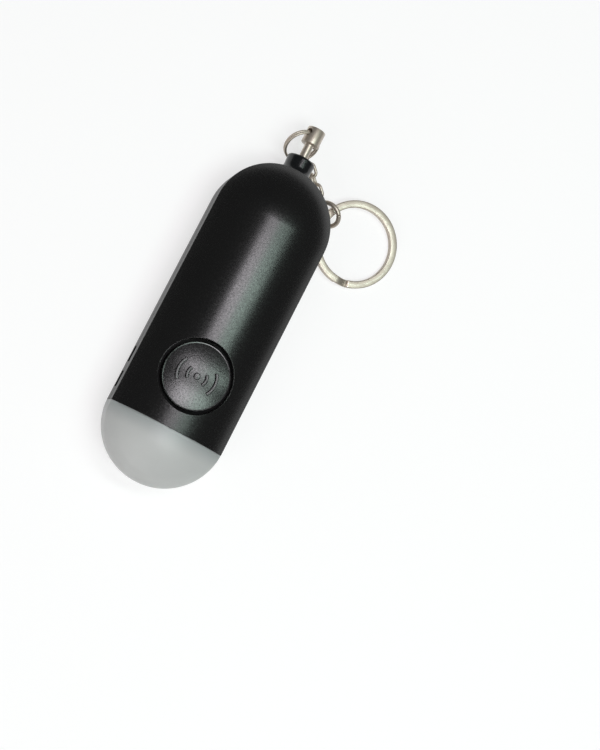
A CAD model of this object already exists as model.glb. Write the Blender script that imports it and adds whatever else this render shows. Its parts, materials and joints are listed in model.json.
"""Personal safety alarm: finishes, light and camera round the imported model. Sizes are millimetres until placed."""
import json
import math

import bmesh
import bpy
from mathutils import Matrix, Vector


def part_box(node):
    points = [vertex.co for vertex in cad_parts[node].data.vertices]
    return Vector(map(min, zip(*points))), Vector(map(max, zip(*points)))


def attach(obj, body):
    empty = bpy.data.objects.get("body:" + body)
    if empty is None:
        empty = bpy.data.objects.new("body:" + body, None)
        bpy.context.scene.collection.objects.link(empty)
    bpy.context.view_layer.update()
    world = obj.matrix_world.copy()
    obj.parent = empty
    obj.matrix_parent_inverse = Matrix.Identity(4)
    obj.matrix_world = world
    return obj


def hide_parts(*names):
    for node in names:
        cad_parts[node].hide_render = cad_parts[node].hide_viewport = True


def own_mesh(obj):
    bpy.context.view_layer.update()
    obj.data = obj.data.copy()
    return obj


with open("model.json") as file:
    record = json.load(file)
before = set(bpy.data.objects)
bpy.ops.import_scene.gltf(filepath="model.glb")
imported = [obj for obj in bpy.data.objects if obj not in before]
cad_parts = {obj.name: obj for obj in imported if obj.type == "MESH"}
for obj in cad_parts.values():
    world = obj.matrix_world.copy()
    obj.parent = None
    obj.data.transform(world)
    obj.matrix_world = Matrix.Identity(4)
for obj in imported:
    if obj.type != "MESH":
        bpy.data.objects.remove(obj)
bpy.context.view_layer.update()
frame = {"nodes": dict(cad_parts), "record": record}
MM = 0.001


def linear(colour):
    """Linear RGBA of an sRGB hex colour."""
    parts = [int(colour[i:i + 2], 16) / 255 for i in (1, 3, 5)]
    return [c / 12.92 if c <= 0.04045 else ((c + 0.055) / 1.055) ** 2.4 for c in parts] + [1.0]


def per_mm(size):
    """Texture scale at which a feature is about this many millimetres across."""
    return 1 / (size * MM)


def set_inputs(tree, node, inputs):
    """Link each input that is given a socket, and set the others."""
    for name, value in inputs.items():
        if isinstance(value, bpy.types.NodeSocket):
            tree.links.new(value, node.inputs[name])
        else:
            node.inputs[name].default_value = value


def add_node(tree, kind, inputs=None, **settings):
    """Add a node with its settings and its inputs."""
    node = tree.nodes.new(kind)
    for name, value in settings.items():
        setattr(node, name, value)
    set_inputs(tree, node, inputs or {})
    return node


# Camera at the photograph's viewing angle: lens and place in millimetres, turn in degrees
SENSOR_W, FOCAL_LENGTH, NEAREST = 36, 70.94, 10
CAMERA_AT, CAMERA_TURN = (-58.69, -55.21, 403.68), (1.218, -14.406, 27.477)
camera_data = bpy.data.cameras.new("photo_camera")
camera_data.sensor_width = SENSOR_W
camera_data.lens = FOCAL_LENGTH
camera_data.clip_start = NEAREST * MM
camera = bpy.data.objects.new("photo_camera", camera_data)
camera.location = [v * MM for v in CAMERA_AT]
camera.rotation_euler = [math.radians(v) for v in CAMERA_TURN]
bpy.context.collection.objects.link(camera)
bpy.context.scene.camera = camera

# Sizes that the new pieces repeat from the CAD model, from the case to the key ring
HALF_W, END_Y, THICKNESS, CROWN_RISE, FLAT_DEPTH = 16.5, 31.0, 22.0, 6.5, 0.75
CROWN_R = (HALF_W ** 2 + CROWN_RISE ** 2) / (2 * CROWN_RISE)
SIDE_LOW, SIDE_HIGH = CROWN_RISE - FLAT_DEPTH, THICKNESS - CROWN_RISE
PART_Z = (SIDE_LOW + SIDE_HIGH) / 2
FRONT_C, BACK_C = THICKNESS - CROWN_R, CROWN_R - FLAT_DEPTH
BUTTON_Y, WELL_R, CAP_R, CAP_RIM_Z, DOME_R = -15.8, 10.2, 9.1, 20.6, 45.0
FLANGE_R, FLANGE_LOW, FLANGE_TOP = 10.1, 13.325, 14.325
COLLAR_R, COLLAR_TOP, COLLAR_BORE_R = 4.1, 52.0, 1.68
SEAT_R, SEAT_Y, SEAT_DEPTH = 4.8, 44.722, 1.4
SHANK_R, PIN_TIP, HEAD_R, HEAD_Y, HEAD_TOP = 1.25, 34.122, 2.6, 56.6, 61.3
O_RING_Y, GROOVE_R, GROOVE_W = 47.0, 0.85, 0.85
PIN_HOLE = Vector((0, 59.5, PART_Z))
HOLE_R, PIN_TURN, RING_LEAN, HOOK_ANGLE = 1.05, 35, 36, 70
RING_R, RING_WIRE, RING_PITCH, RING_HALF_STEP = 4.84, 0.72, 0.8, 14
LINK_R, LINK_RUN, LINK_WIRE, LINK_GAP = 1.4, 1.3, 0.9, 0.15
LINK_ROLLS, CHAIN_TURN = (-68, 26, -58, 38, -46), -42
JUMP_R, JUMP_WIRE, JUMP_SLOPE, JUMP_TURN = 3.525, 1.35, 53, -29
KEY_R, KEY_BAND, KEY_STRIP, KEY_PITCH, KEY_TURN = 11.45, 2.1, 0.9, 0.96, -14
KEY_STEP_AT, KEY_HALF_STEP, KEY_HANG = -70, 9, Vector((0.4, -0.6, 0))


def new_material(name):
    """Material with its surface shader, and its Object coordinates."""
    material = bpy.data.materials.new(name)
    material.use_nodes = True
    tree = material.node_tree
    tree.nodes.clear()
    shader = add_node(tree, "ShaderNodeBsdfPrincipled")
    add_node(tree, "ShaderNodeOutputMaterial", {"Surface": shader.outputs["BSDF"]})
    place = add_node(tree, "ShaderNodeTexCoord").outputs["Object"]
    return material, tree, shader, place


# Most of a noise texture keeps between these values
NOISE_LOW, NOISE_HIGH = 0.3, 0.7
# Moulded plastic: width of its slow changes of shade, and how far its roughness goes either way
FLOW_W, GLOSS_SPREAD = 9, 0.05
# The case: roughness of its straight sides and of its well, and how far inside their edges each begins
SIDE_MATT, WELL_MATT, SIDE_EDGE, WELL_EDGE = 0.45, 0.9, 0.1, 0.05


def moulded(name, dark, light, roughness, ior, grain, grain_depth, edge=0.0, case=False):
    """Moulded plastic: fine grain, slow changes of gloss and shade, and edges that may be rounded a little.

    The case is glossy on its crowned front and back, and matt on its straight sides and in its button well.
    """
    material, tree, shader, place = new_material(name)
    flow = add_node(tree, "ShaderNodeTexNoise", {"Vector": place, "Scale": per_mm(FLOW_W), "Detail": 4.0})
    etch = add_node(tree, "ShaderNodeTexNoise", {"Vector": place, "Scale": per_mm(grain), "Detail": 3.0})
    shade = add_node(tree, "ShaderNodeMix", {
        0: flow.outputs["Fac"], 6: linear(dark), 7: linear(light)
    }, data_type="RGBA")
    gloss = add_node(tree, "ShaderNodeMapRange", {
        "Value": etch.outputs["Fac"], "From Min": NOISE_LOW, "From Max": NOISE_HIGH,
        "To Min": roughness - GLOSS_SPREAD, "To Max": roughness + GLOSS_SPREAD
    })
    relief = add_node(tree, "ShaderNodeBump", {
        "Height": etch.outputs["Fac"], "Strength": 1.0, "Distance": grain_depth * MM
    })
    set_inputs(tree, shader, {
        "Base Color": shade.outputs[2], "Roughness": gloss.outputs["Result"], "Normal": relief.outputs["Normal"],
        "IOR": ior
    })
    if edge:
        rounded = add_node(tree, "ShaderNodeBevel", {"Radius": edge * MM}, samples=8)
        set_inputs(tree, relief, {"Normal": rounded.outputs["Normal"]})
    if case:
        level = add_node(tree, "ShaderNodeVectorMath", {0: place, 1: (1, 1, 0)}, operation="MULTIPLY")
        away = add_node(tree, "ShaderNodeVectorMath", {
            0: level.outputs["Vector"], 1: (0, BUTTON_Y * MM, 0)
        }, operation="DISTANCE")
        in_well = add_node(tree, "ShaderNodeMath", {
            0: away.outputs["Value"], 1: (WELL_R - WELL_EDGE) * MM
        }, operation="LESS_THAN")
        height = add_node(tree, "ShaderNodeSeparateXYZ", {"Vector": place})
        on_side = add_node(tree, "ShaderNodeMath", {
            0: height.outputs["Z"], 1: PART_Z * MM, 2: ((SIDE_HIGH - SIDE_LOW) / 2 - SIDE_EDGE) * MM
        }, operation="COMPARE")
        side = add_node(tree, "ShaderNodeMix", {
            0: on_side.outputs["Value"], 2: gloss.outputs["Result"], 3: SIDE_MATT
        })
        matt = add_node(tree, "ShaderNodeMix", {0: in_well.outputs["Value"], 2: side.outputs[0], 3: WELL_MATT})
        set_inputs(tree, shader, {"Roughness": matt.outputs[0]})
    return material


# Lens plastic: width of its mottling and of its frosting, depth of the frosting, range of roughness, and the stretch
# of the Y axis over which the shells' edge comes to show through
MOTTLE_W, FROST_W, FROST_DEPTH, FROST_GLOSS, SHOWS_THROUGH = 6, 0.25, 0.006, (0.36, 0.48), (-36, -31)


def frosted_polycarbonate():
    """Milky diffuser plastic, softly glossy, faintly mottled, and greyer where the shells' edge shows through."""
    material, tree, shader, place = new_material("frosted polycarbonate")
    cloud = add_node(tree, "ShaderNodeTexNoise", {"Vector": place, "Scale": per_mm(MOTTLE_W), "Detail": 3.0})
    frost = add_node(tree, "ShaderNodeTexNoise", {"Vector": place, "Scale": per_mm(FROST_W), "Detail": 2.0})
    shade = add_node(tree, "ShaderNodeMix", {
        0: cloud.outputs["Fac"], 6: linear("#bcbdbc"), 7: linear("#c3c4c3")
    }, data_type="RGBA")
    along = add_node(tree, "ShaderNodeSeparateXYZ", {"Vector": place})
    near_joint = add_node(tree, "ShaderNodeMapRange", {
        "Value": along.outputs["Y"], "From Min": SHOWS_THROUGH[0] * MM, "From Max": SHOWS_THROUGH[1] * MM,
        "To Min": 0.0, "To Max": 1.0
    }, interpolation_type="SMOOTHSTEP")
    tint = add_node(tree, "ShaderNodeMix", {
        0: near_joint.outputs["Result"], 6: shade.outputs[2], 7: linear("#a3a7a7")
    }, data_type="RGBA")
    gloss = add_node(tree, "ShaderNodeMapRange", {
        "Value": frost.outputs["Fac"], "From Min": NOISE_LOW, "From Max": NOISE_HIGH,
        "To Min": FROST_GLOSS[0], "To Max": FROST_GLOSS[1]
    })
    relief = add_node(tree, "ShaderNodeBump", {
        "Height": frost.outputs["Fac"], "Strength": 1.0, "Distance": FROST_DEPTH * MM
    })
    set_inputs(tree, shader, {
        "Base Color": tint.outputs[2], "Roughness": gloss.outputs["Result"], "Normal": relief.outputs["Normal"],
        "IOR": 1.58, "Subsurface Weight": 0.3, "Subsurface Radius": (1.0, 1.0, 1.0), "Subsurface Scale": 1.5 * MM
    })
    return material


# Metal: width of its dulled patches, how far they are rougher and smoother, and the depth of its marks
DULL_W, DULLER, BRIGHTER, SCRATCH_DEPTH = 2.2, 0.05, 0.04, 0.006


def plated_metal(name, dark, light, roughness, scratch):
    """Plated or drawn metal: satin, dulled in patches, with a thin bright glaze and marks of turning and handling."""
    material, tree, shader, place = new_material(name)
    dulled = add_node(tree, "ShaderNodeTexNoise", {"Vector": place, "Scale": per_mm(DULL_W), "Detail": 4.0})
    marks = add_node(tree, "ShaderNodeTexNoise", {"Vector": place, "Scale": per_mm(scratch), "Detail": 3.0})
    shade = add_node(tree, "ShaderNodeMix", {
        0: dulled.outputs["Fac"], 6: linear(dark), 7: linear(light)
    }, data_type="RGBA")
    gloss = add_node(tree, "ShaderNodeMapRange", {
        "Value": dulled.outputs["Fac"], "From Min": NOISE_LOW, "From Max": NOISE_HIGH,
        "To Min": roughness + DULLER, "To Max": roughness - BRIGHTER
    })
    relief = add_node(tree, "ShaderNodeBump", {
        "Height": marks.outputs["Fac"], "Strength": 1.0, "Distance": SCRATCH_DEPTH * MM
    })
    set_inputs(tree, shader, {
        "Base Color": shade.outputs[2], "Roughness": gloss.outputs["Result"], "Normal": relief.outputs["Normal"],
        "Metallic": 1.0, "Coat Weight": 0.5, "Coat Roughness": 0.12
    })
    return material


# Plastics have two shades, roughness, IOR, then width and depth of the grain. Metals have two shades, roughness and
# width of the marks. The real grain of the two black ABS finishes is finer, and is drawn this coarse so that it shows.
finishes = {
    "black_abs": moulded("moulded black ABS", "#080808", "#0c0c0c", 0.25, 1.56, 0.5, 0.0025, edge=0.25, case=True),
    "etched_abs": moulded("spark eroded black ABS", "#080808", "#0e0e0e", 0.25, 1.56, 0.45, 0.02),
    "frosted_lens": frosted_polycarbonate(),
    "black_acetal": moulded("turned black acetal", "#0b0d0f", "#101215", 0.22, 1.52, 0.4, 0.004),
    "nickel_plate": plated_metal("nickel plated steel", "#bcb1a4", "#cec4b7", 0.5, 0.3),
    "spring_steel": plated_metal("drawn spring steel", "#8e8e8a", "#a8a8a4", 0.3, 0.25),
    "black_rubber": moulded("nitrile rubber", "#18181a", "#202022", 0.55, 1.52, 0.12, 0.01),
    "switch_plastic": moulded("glass filled nylon", "#222222", "#2c2c2c", 0.45, 1.53, 0.2, 0.01),
    "plunger_plastic": moulded("ivory acetal", "#bdb8aa", "#cdc8ba", 0.4, 1.48, 0.2, 0.006),
    "circuit_board": moulded("solder masked board", "#184a2f", "#215c3c", 0.35, 1.5, 0.3, 0.008),
    "coil_copper": plated_metal("enamelled copper wire", "#7d3f22", "#9a5430", 0.3, 0.2),
    "led_lamp": moulded("phosphor coated lamp", "#d8cf9c", "#e6dfb4", 0.4, 1.5, 0.3, 0.006),
    "siren_plastic": moulded("moulded sounder cup", "#232325", "#2d2d2f", 0.42, 1.53, 0.2, 0.01),
    "disc_brass": plated_metal("rolled brass", "#b08d3c", "#caa652", 0.28, 0.3),
    "piezo_ceramic": moulded("silvered ceramic", "#d6d2c6", "#e2ded4", 0.5, 1.6, 0.1, 0.005),
    "cell_steel": plated_metal("nickel plated cell can", "#a8a8a4", "#c0c0bc", 0.22, 0.35),
    "lead_red": moulded("red vinyl insulation", "#8c1818", "#a82424", 0.4, 1.53, 0.2, 0.006),
    "lead_black": moulded("black vinyl insulation", "#1c1c22", "#26262c", 0.4, 1.53, 0.2, 0.006),
}
for subpart in frame["record"]["subparts"]:
    for slot in frame["nodes"][subpart["node"]].material_slots:
        slot.material = finishes[subpart["material_slot"]]


def turn(axis, degrees):
    """Turn about an axis through the origin."""
    return Matrix.Rotation(math.radians(degrees), 4, axis)


def shift(*offset):
    """Move by a vector, or by its three coordinates."""
    return Matrix.Translation(Vector(*offset) if len(offset) == 1 else Vector(offset))


def wire(bm, points, closed=False):
    """Wire through points of the XZ plane, as its vertices."""
    verts = [bm.verts.new((x, 0, z)) for x, z in points]
    for a, b in zip(verts, verts[1:] + verts[:1] if closed else verts[1:]):
        bm.edges.new((a, b))
    return verts


def round_corner(bm, vert, radius, segments):
    """Round one corner of a wire."""
    bmesh.ops.bevel(bm, geom=[vert], offset=radius, offset_type="OFFSET", segments=segments, profile=0.5,
                    affect="VERTICES", material=-1)


def arc(bm, vert, centre_z, degrees, steps):
    """Carry a wire on from a vertex, round a centre on the Z axis, and give the last vertex."""
    last = bmesh.ops.spin(bm, geom=[vert], cent=(0, 0, centre_z), axis=(0, 1, 0),
                          angle=math.radians(degrees), steps=steps)["geom_last"]
    return [v for v in last if isinstance(v, bmesh.types.BMVert)][0]


def close(bm):
    """Merge seams and poles, and turn the faces outwards."""
    bmesh.ops.remove_doubles(bm, verts=bm.verts, dist=0.001)
    bmesh.ops.recalc_face_normals(bm, faces=bm.faces)


def lathe(bm, steps):
    """Spin all wires of a bmesh once round the Z axis."""
    bmesh.ops.spin(bm, geom=bm.verts[:] + bm.edges[:], cent=(0, 0, 0), axis=(0, 0, 1),
                   angle=2 * math.pi, steps=steps, use_merge=True)
    close(bm)


def cap_ends(bm, edge):
    """Close the open ends of a swept wire, and break their edges."""
    rims = [e for e in bm.edges if e.is_boundary]
    bmesh.ops.holes_fill(bm, edges=rims)
    bmesh.ops.recalc_face_normals(bm, faces=bm.faces)
    bmesh.ops.bevel(bm, geom=rims, offset=edge, offset_type="OFFSET", segments=2, profile=0.5,
                    affect="EDGES", material=-1)


# Faces that meet at more than this angle, in degrees, keep a sharp edge
SHARP = 35


def make_piece(name, bm, place, body, node, slot, sharp=SHARP, finish=None):
    """Make a piece from a bmesh in millimetres, riding on a body in the place of its CAD node."""
    bmesh.ops.transform(bm, matrix=Matrix.Scale(MM, 4) @ place, verts=bm.verts)
    mesh = bpy.data.meshes.new(name)
    bm.to_mesh(mesh)
    bm.free()
    mesh.shade_smooth()
    mesh.set_sharp_from_angle(angle=math.radians(sharp))
    mesh.materials.append(finishes[finish or slot])
    piece = bpy.data.objects.new(name, mesh)
    bpy.context.collection.objects.link(piece)
    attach(piece, body)
    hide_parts(node)
    return piece


# Button cap: a shallow dome that turns up a little at its rim, a skirt and a flange, hollow below. A circle of points
# part of the way up the lip holds its slope straight.
LIP_W, LIP_RISE, LIP_EDGE, LIP_HOLD, LIP_SHARP, CAP_WALL, CAP_ROOF = 0.27, 0.11, 0.05, 0.8, 20, 1.0, 1.8
bm = bmesh.new()
dome_c = CAP_RIM_Z - math.sqrt(DOME_R ** 2 - CAP_R ** 2)
top = bm.verts.new((0, 0, dome_c + DOME_R))
lip_foot = arc(bm, top, dome_c, math.degrees(math.asin((CAP_R - LIP_W) / DOME_R)), 24)
lip_top = (CAP_R, CAP_RIM_Z + LIP_RISE)
skirt = wire(bm, [
    lip_foot.co.xz.lerp(lip_top, LIP_HOLD), lip_top, (CAP_R, FLANGE_TOP), (FLANGE_R, FLANGE_TOP),
    (FLANGE_R, FLANGE_LOW), (CAP_R - CAP_WALL, FLANGE_LOW), (CAP_R - CAP_WALL, CAP_RIM_Z - CAP_ROOF),
    (0, CAP_RIM_Z - CAP_ROOF)
])
bm.edges.new((lip_foot, skirt[0]))
round_corner(bm, skirt[1], LIP_EDGE, 8)
lathe(bm, 96)

# Raised mark on it: a dot between two pairs of sound waves, each wave a bar with soft edges
MARK_LINE, MARK_RISE, MARK_ROOT, MARK_EDGE, MARK_END = 0.95, 0.45, 0.4, 0.26, 0.15
MARK_PITCH, MARK_SPREAD = 2.7, 70
for wave in (0, 1, 2):
    for side in (0, 180) if wave else (0,):
        bar = bmesh.new()
        mid = MARK_PITCH * wave
        high = dome_c + math.sqrt(DOME_R ** 2 - mid ** 2) + MARK_RISE
        low = high - MARK_RISE - MARK_ROOT
        inner, outer = (mid - MARK_LINE / 2, mid + MARK_LINE / 2) if wave else (0, MARK_LINE)
        corners = wire(bar, [(inner, low), (outer, low), (outer, high), (inner, high)], closed=bool(wave))
        for corner in corners[2:] if wave else corners[2:3]:
            round_corner(bar, corner, MARK_EDGE, 6)
        if wave:
            bmesh.ops.rotate(bar, verts=bar.verts, cent=(0, 0, 0),
                             matrix=Matrix.Rotation(math.radians(side - MARK_SPREAD / 2), 3, "Z"))
            bmesh.ops.spin(bar, geom=bar.verts[:] + bar.edges[:], cent=(0, 0, 0), axis=(0, 0, 1),
                           angle=math.radians(MARK_SPREAD), steps=28)
            close(bar)
            cap_ends(bar, MARK_END)
        else:
            lathe(bar, 32)
        scrap = bpy.data.meshes.new("bar")
        bar.to_mesh(scrap)
        bar.free()
        bm.from_mesh(scrap)
        bpy.data.meshes.remove(scrap)
make_piece("button_cap", bm, shift(0, BUTTON_Y, 0), "button", "alarm_button", "black_abs", LIP_SHARP, "etched_abs")

# Return spring: a closed coil at each end and open ones between, pressed flatter as the button goes down
SPRING_R, SPRING_WIRE, SPRING_EDGE, COIL_SPACE, PRESS = 5.6, 0.5, 0.06, 0.05, 0.6
OPEN_TURNS, COIL_STEPS = 2.5, 40
spring_low, spring_high = (corner[2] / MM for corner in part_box("button_spring"))
spring_rise = spring_high - spring_low - SPRING_WIRE
closed_rise = SPRING_WIRE + COIL_SPACE
bm = bmesh.new()
bmesh.ops.create_circle(bm, segments=12, radius=SPRING_WIRE / 2,
                        matrix=shift(SPRING_R, 0, spring_low + SPRING_WIRE / 2) @ turn("X", 90))
last = bm.verts[:] + bm.edges[:]
for turns, rise in ((1, closed_rise), (OPEN_TURNS, spring_rise - 2 * closed_rise), (1, closed_rise)):
    steps = round(COIL_STEPS * turns)
    last = bmesh.ops.spin(bm, geom=last, cent=(0, 0, 0), axis=(0, 0, 1), angle=2 * math.pi * turns, steps=steps,
                          dvec=(0, 0, rise / steps))["geom_last"]
bmesh.ops.recalc_face_normals(bm, faces=bm.faces)
cap_ends(bm, SPRING_EDGE)
spring = make_piece("return_spring", bm, shift(0, BUTTON_Y, 0), "case", "button_spring", "spring_steel")
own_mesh(spring)

# Collar: rounded mouth, a slight waist, a sweep out to the case at its foot, and a seat inside the shell
WAIST, WAIST_Y, FOOT_W, FOOT_Y, FOOT_LOW_Y = 0.26, 47.9, 1.15, 46.55, 46.5
BORE_EDGE, MOUTH_EDGE, WAIST_BEND = 0.25, 0.8, 1.0
along_pin = shift(0, 0, PART_Z) @ turn("X", -90)
bm = bmesh.new()
mouth = wire(bm, [
    (COLLAR_BORE_R, SEAT_Y - SEAT_DEPTH), (COLLAR_BORE_R, COLLAR_TOP), (COLLAR_R, COLLAR_TOP),
    (COLLAR_R - WAIST, WAIST_Y), (COLLAR_R + FOOT_W, FOOT_Y), (COLLAR_R, FOOT_LOW_Y), (COLLAR_R, SEAT_Y),
    (SEAT_R, SEAT_Y), (SEAT_R, SEAT_Y - SEAT_DEPTH)
], closed=True)
round_corner(bm, mouth[1], BORE_EDGE, 3)
round_corner(bm, mouth[2], MOUTH_EDGE, 8)
round_corner(bm, mouth[3], WAIST_BEND, 6)
lathe(bm, 96)
make_piece("pin_sleeve", bm, along_pin, "case", "pin_collar", "black_acetal")

# Pull pin: turned shank with its groove, and a head with broken edges
TIP_EDGE, HEAD_EDGE = 0.35, 0.18
groove_low, groove_high = O_RING_Y - GROOVE_W / 2, O_RING_Y + GROOVE_W / 2
bm = bmesh.new()
turned = wire(bm, [
    (0, PIN_TIP), (SHANK_R, PIN_TIP), (SHANK_R, groove_low), (GROOVE_R, groove_low), (GROOVE_R, groove_high),
    (SHANK_R, groove_high), (SHANK_R, HEAD_Y), (HEAD_R, HEAD_Y), (HEAD_R, HEAD_TOP), (0, HEAD_TOP)
])
round_corner(bm, turned[1], TIP_EDGE, 3)
for corner in turned[6:9]:
    round_corner(bm, corner, HEAD_EDGE, 3)
lathe(bm, 64)
pin = make_piece("turned_pin", bm, along_pin, "pin", "pull_pin", "nickel_plate")

# Cross hole through the head
bm = bmesh.new()
bmesh.ops.create_cone(bm, cap_ends=True, segments=48, radius1=HOLE_R, radius2=HOLE_R, depth=4 * HEAD_R)
drill_place = shift(PIN_HOLE) @ turn("Y", PIN_TURN) @ turn("Y", 90)
bmesh.ops.transform(bm, matrix=Matrix.Scale(MM, 4) @ drill_place, verts=bm.verts)
drill_mesh = bpy.data.meshes.new("drill")
bm.to_mesh(drill_mesh)
bm.free()
drill = bpy.data.objects.new("drill", drill_mesh)
bpy.context.collection.objects.link(drill)
hole = pin.modifiers.new("hole", "BOOLEAN")
hole.object = drill
hole.operation = "DIFFERENCE"
hole.solver = "EXACT"
drilled = bpy.data.meshes.new_from_object(pin.evaluated_get(bpy.context.evaluated_depsgraph_get()))
pin.modifiers.clear()
pin.data = drilled
drilled.name = "turned_pin"
drilled.shade_smooth()
drilled.set_sharp_from_angle(angle=math.radians(SHARP))
bpy.data.objects.remove(drill)
bpy.data.meshes.remove(drill_mesh)

# Split rings: parts of a flat turn, parts of the slope between the turns, and how far a cut end's edge is broken
TURN_STEPS, SLOPE_STEPS, CUT_EDGE = 96, 16, 0.1


def split_ring(profile, pitch, step_at, half_step, edge):
    """Two flat turns of wire with a smooth step between them, from the corners of the wire's section."""
    bm = bmesh.new()
    for corner in wire(bm, [(x, z + pitch / 2) for x, z in profile], closed=True):
        if edge:
            round_corner(bm, corner, edge, 3)
    bmesh.ops.rotate(bm, verts=bm.verts, cent=(0, 0, 0),
                     matrix=Matrix.Rotation(math.radians(step_at + half_step), 3, "Z"))
    last = bm.verts[:] + bm.edges[:]
    level = 0.0
    flat = [(360 - 2 * half_step) / TURN_STEPS] * TURN_STEPS
    slope = [2 * half_step / SLOPE_STEPS] * SLOPE_STEPS
    for place, angle in enumerate(flat + slope + flat, 1):
        part = min(max((place - TURN_STEPS) / SLOPE_STEPS, 0), 1)
        drop = pitch * (1 - math.cos(math.pi * part)) / 2
        last = bmesh.ops.spin(bm, geom=last, cent=(0, 0, 0), axis=(0, 0, 1), angle=math.radians(angle),
                              steps=1, dvec=(0, 0, level - drop))["geom_last"]
        level = drop
    bmesh.ops.recalc_face_normals(bm, faces=bm.faces)
    cap_ends(bm, CUT_EDGE)
    return bm


# Ring through the head, with the step between its turns inside the hole
RING_SIDES, RING_STEP_AT = 16, 90
round_wire = [(RING_R + RING_WIRE / 2 * math.cos(a), RING_WIRE / 2 * math.sin(a))
              for a in (2 * math.pi * side / RING_SIDES for side in range(RING_SIDES))]
ring_drop = (RING_R + math.sqrt(RING_R ** 2 - HEAD_R ** 2)) / 2
ring_hang = turn("Y", PIN_TURN) @ turn("X", RING_LEAN)
make_piece("small_split_ring", split_ring(round_wire, RING_PITCH, RING_STEP_AT, RING_HALF_STEP, 0),
           shift(PIN_HOLE) @ ring_hang @ shift(0, -ring_drop, 0), "ring", "pin_ring", "nickel_plate")

# Chain of oval links, each through the one before
hook_a = math.radians(HOOK_ANGLE)
hook = PIN_HOLE + ring_hang @ Vector((RING_R * math.sin(hook_a), -ring_drop - RING_R * math.cos(hook_a), 0))
link_step = LINK_RUN + 2 * LINK_R - LINK_WIRE - LINK_GAP
chain_run = (len(LINK_ROLLS) - 1) * link_step + LINK_RUN
jump_z = JUMP_R * math.sin(math.radians(JUMP_SLOPE)) + JUMP_WIRE / 2
chain_fall = math.degrees(math.asin((hook.z - jump_z) / chain_run))
chain_line = turn("Z", CHAIN_TURN) @ turn("Y", chain_fall)
for number, roll in enumerate(LINK_ROLLS):
    bm = bmesh.new()
    bmesh.ops.create_circle(bm, segments=16, radius=LINK_WIRE / 2, matrix=shift(0, -LINK_R, 0) @ turn("Y", 90))
    last = bm.verts[:] + bm.edges[:]
    for end_x, run in ((LINK_RUN, LINK_RUN), (0, -LINK_RUN)):
        grown = bmesh.ops.extrude_edge_only(bm, edges=[g for g in last if isinstance(g, bmesh.types.BMEdge)])
        ahead = [g for g in grown["geom"] if not isinstance(g, bmesh.types.BMFace)]
        bmesh.ops.translate(bm, verts=[g for g in ahead if isinstance(g, bmesh.types.BMVert)], vec=(run, 0, 0))
        last = bmesh.ops.spin(bm, geom=ahead, cent=(end_x, 0, 0), axis=(0, 0, 1), angle=math.pi,
                              steps=24)["geom_last"]
    close(bm)
    at = hook + chain_line @ Vector((number * link_step, 0, 0))
    make_piece(f"wire_link_{number + 1}", bm, shift(at) @ chain_line @ turn("X", roll), f"link_{number + 1}",
               f"chain_link_{number + 1}", "nickel_plate")

# Jump ring, cut through and closed up
JUMP_CUT, JUMP_CUT_AT, JUMP_CUT_EDGE = 3, 62, 0.08
bm = bmesh.new()
bmesh.ops.create_circle(bm, segments=20, radius=JUMP_WIRE / 2, matrix=shift(JUMP_R, 0, 0) @ turn("X", 90))
bmesh.ops.spin(bm, geom=bm.verts[:] + bm.edges[:], cent=(0, 0, 0), axis=(0, 0, 1),
               angle=math.radians(360 - JUMP_CUT), steps=96)
cap_ends(bm, JUMP_CUT_EDGE)
jump_at = hook + chain_line @ Vector((chain_run, 0, 0)) + turn("Z", JUMP_TURN) @ Vector((JUMP_R, 0, 0))
jump_frame = turn("Z", JUMP_TURN) @ turn("X", JUMP_SLOPE)
make_piece("wire_jump_ring", bm, shift(jump_at) @ jump_frame @ turn("Z", JUMP_CUT_AT), "jump", "jump_ring",
           "nickel_plate")

# Key ring of flat wire
KEY_EDGE = 0.25
flat_wire = [(KEY_R + x * KEY_BAND / 2, z * KEY_STRIP / 2) for x, z in ((-1, -1), (1, -1), (1, 1), (-1, 1))]
key_at = jump_at + jump_frame @ KEY_HANG
key_tilt = math.degrees(math.asin((key_at.z - (KEY_PITCH + KEY_STRIP) / 2) / (2 * KEY_R + KEY_BAND / 2)))
make_piece("flat_split_ring", split_ring(flat_wire, KEY_PITCH, KEY_STEP_AT, KEY_HALF_STEP, KEY_EDGE),
           shift(key_at) @ turn("Z", KEY_TURN) @ turn("Y", key_tilt) @ shift(KEY_R, 0, 0), "keys", "key_ring",
           "nickel_plate")

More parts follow.
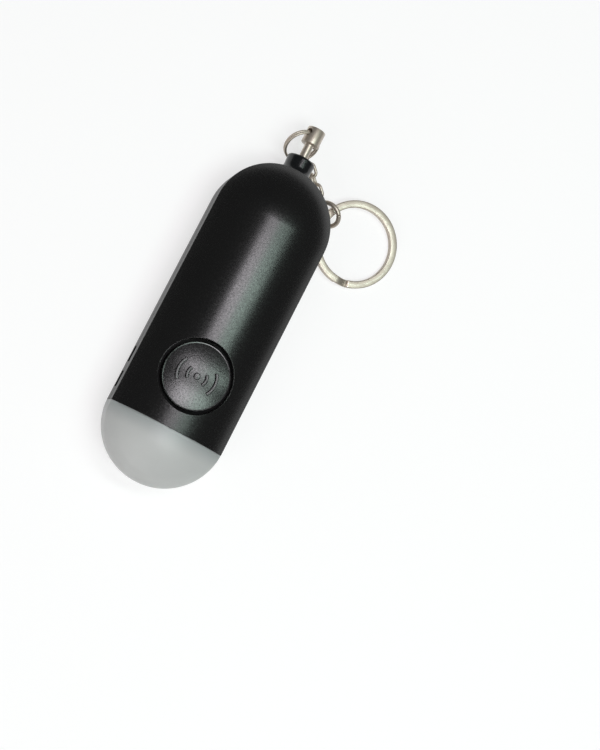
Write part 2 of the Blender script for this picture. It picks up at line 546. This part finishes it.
# Lens: the case's section swept round the end, crisp where it meets the shells and domed towards its tip
JOINT_SPACE, LENS_DRAW, LENS_STEPS, LENS_WALL, LENS_SHARP = 0.08, 0.4, 48, 2.0, 50
JOINT_EDGE, TIP_ROUND, EDGE_BAND = 0.25, 3.2, 9
bm = bmesh.new()
edge_turn = math.degrees(math.asin(HALF_W / CROWN_R))
flat_turn = math.degrees(math.asin(math.sqrt(CROWN_R ** 2 - BACK_C ** 2) / CROWN_R))
before = None
for step in range(LENS_STEPS + 1):
    swing = math.pi * step / LENS_STEPS
    dome = math.sin(swing)
    old = set(bm.verts) | set(bm.edges)
    crown_top = bm.verts.new((0, 0, THICKNESS))
    crown_edge = arc(bm, arc(bm, crown_top, FRONT_C, edge_turn - EDGE_BAND, 24), FRONT_C, EDGE_BAND, 1)
    back_edge = bm.verts.new((HALF_W, 0, SIDE_LOW))
    bm.edges.new((crown_edge, back_edge))
    flat_edge = arc(bm, arc(bm, back_edge, BACK_C, EDGE_BAND, 1), BACK_C, edge_turn - EDGE_BAND - flat_turn, 16)
    flat_mid = bm.verts.new((0, 0, 0))
    bm.edges.new((flat_edge, flat_mid))
    for corner in (crown_edge, back_edge):
        corner.co.x -= LENS_DRAW * dome * dome
        round_corner(bm, corner, JOINT_EDGE + TIP_ROUND * dome, 8)
    new = [g for g in list(bm.verts) + list(bm.edges) if g not in old]
    bmesh.ops.rotate(bm, verts=[g for g in new if isinstance(g, bmesh.types.BMVert)], cent=(0, 0, 0),
                     matrix=Matrix.Rotation(-swing, 3, "Z"))
    rib = [g for g in new if isinstance(g, bmesh.types.BMEdge)]
    if before:
        bmesh.ops.bridge_loops(bm, edges=before + rib)
    before = rib
close(bm)
lens = make_piece("opal_lens", bm, shift(0, -END_Y - JOINT_SPACE, 0), "case", "light_lens", "frosted_lens",
                  LENS_SHARP)
wall = lens.modifiers.new("wall", "SOLIDIFY")
wall.thickness = LENS_WALL * MM
wall.offset = -1

# White floor under the case: seen directly or mirrored it glows nearly to white, and keeps a part of a shadow's depth
FLOOR_HALF, FLOOR_GLOW = 8000 * MM, 0.66
floor_mesh = bpy.data.meshes.new("floor")
floor_mesh.from_pydata([(x * FLOOR_HALF, y * FLOOR_HALF, 0) for x, y in ((-1, -1), (1, -1), (1, 1), (-1, 1))],
                       [], [(0, 1, 2, 3)])
floor = bpy.data.objects.new("floor", floor_mesh)
bpy.context.collection.objects.link(floor)
paper, tree, shader, _ = new_material("white card")
path = add_node(tree, "ShaderNodeLightPath").outputs
direct = add_node(tree, "ShaderNodeMath", {
    0: path["Is Camera Ray"], 1: path["Is Glossy Ray"]
}, operation="MAXIMUM")
seen = add_node(tree, "ShaderNodeMath", {
    0: direct.outputs[0], 1: path["Is Transmission Ray"]
}, operation="MAXIMUM")
card = add_node(tree, "ShaderNodeMix", {
    0: seen.outputs[0], 6: linear("#eeeeee"), 7: linear("#a9a9a9")
}, data_type="RGBA")
glow = add_node(tree, "ShaderNodeMath", {0: seen.outputs[0], 1: FLOOR_GLOW}, operation="MULTIPLY")
set_inputs(tree, shader, {
    "Base Color": card.outputs[2], "Emission Strength": glow.outputs[0], "Emission Color": (1, 1, 1, 1),
    "Roughness": 0.9, "Specular IOR Level": 0.0
})
floor_mesh.materials.append(paper)

# Light: a softbox over the case in two tints, and a broad fill from its lower left. Each row gives a place, aim, size,
# power in watts and colour.
for name, at, aim, size, power, colour in (
    ("softbox_upper", (60, 135, 760), (60, 135, 0), (210, 110), 0.79, "#fff9ff"),
    ("softbox_top_side", (325, 168, 760), (325, 168, 0), (320, 44), 0.44, "#e6fff3"),
    ("softbox_upper_side", (275, 113, 760), (275, 113, 0), (220, 66), 0.39, "#e6fff3"),
    ("softbox_lower", (72, -165, 760), (72, -165, 0), (186, 230), 1.42, "#fff9ff"),
    ("softbox_lower_side", (260, -165, 760), (260, -165, 0), (190, 230), 1.12, "#e6fff3"),
    ("fill", (-300, -750, 600), (0, 0, 0), (800, 800), 2.65, "#fffaf8"),
):
    lamp_data = bpy.data.lights.new(name, "AREA")
    lamp_data.shape = "RECTANGLE"
    lamp_data.size = size[0] * MM
    lamp_data.size_y = size[1] * MM
    lamp_data.energy = power
    lamp_data.color = linear(colour)[:3]
    lamp = bpy.data.objects.new(name, lamp_data)
    lamp.location = [v * MM for v in at]
    lamp.visible_camera = False
    back = lamp.location - Vector(aim) * MM
    lamp.rotation_euler = back.to_track_quat("Z", "Y").to_euler()
    bpy.context.collection.objects.link(lamp)

# Dim room with a pale horizon: the height over which the horizon fades, and the strength of each
HORIZON_LOW, HORIZON_HIGH, HORIZON_GLOW, ROOM_GLOW = 0.02, 0.12, 0.8, 0.12
room = bpy.data.worlds.new("room")
bpy.context.scene.world = room
room.use_nodes = True
tree = room.node_tree
tree.nodes.clear()
direction = add_node(tree, "ShaderNodeTexCoord").outputs["Generated"]
height = add_node(tree, "ShaderNodeSeparateXYZ", {"Vector": direction}).outputs["Z"]
level = add_node(tree, "ShaderNodeMapRange", {
    "Value": height, "From Min": HORIZON_LOW, "From Max": HORIZON_HIGH, "To Min": HORIZON_GLOW, "To Max": ROOM_GLOW
}, interpolation_type="SMOOTHSTEP")
sky = add_node(tree, "ShaderNodeBackground", {"Color": (1, 1, 1, 1), "Strength": level.outputs["Result"]})
add_node(tree, "ShaderNodeOutputWorld", {"Surface": sky.outputs["Background"]})

bpy.context.scene.view_settings.view_transform = "Standard"
